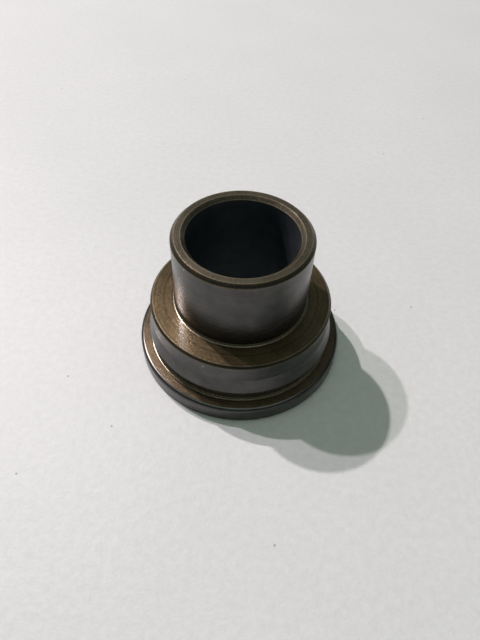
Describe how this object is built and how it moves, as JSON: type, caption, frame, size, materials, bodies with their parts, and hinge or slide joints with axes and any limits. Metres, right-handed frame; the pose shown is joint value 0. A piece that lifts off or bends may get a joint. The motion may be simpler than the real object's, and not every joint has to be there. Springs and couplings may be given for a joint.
{
  "type": "flanged sleeve bushing",
  "caption": "Stepped bronze sleeve bushing: a flange, a locating collar and a slim nose on one axis, with a plain through bore that carries a shaft.",
  "frame": {"origin": "centre of the flange's underside, where the bushing stands", "axes": "+Z along the bore's axis, from the flange to the nose; X and Y are interchangeable"},
  "size_m": [0.0644, 0.0644, 0.045],
  "materials": {
    "bronze": "dark bearing bronze: open, sparkling brown grain on the flat faces and smooth, oil-dark charcoal brown on the round walls and in the bore"
  },
  "bodies": {
    "root": {"flanged_bushing": "bronze"}
  },
  "joints": []
}
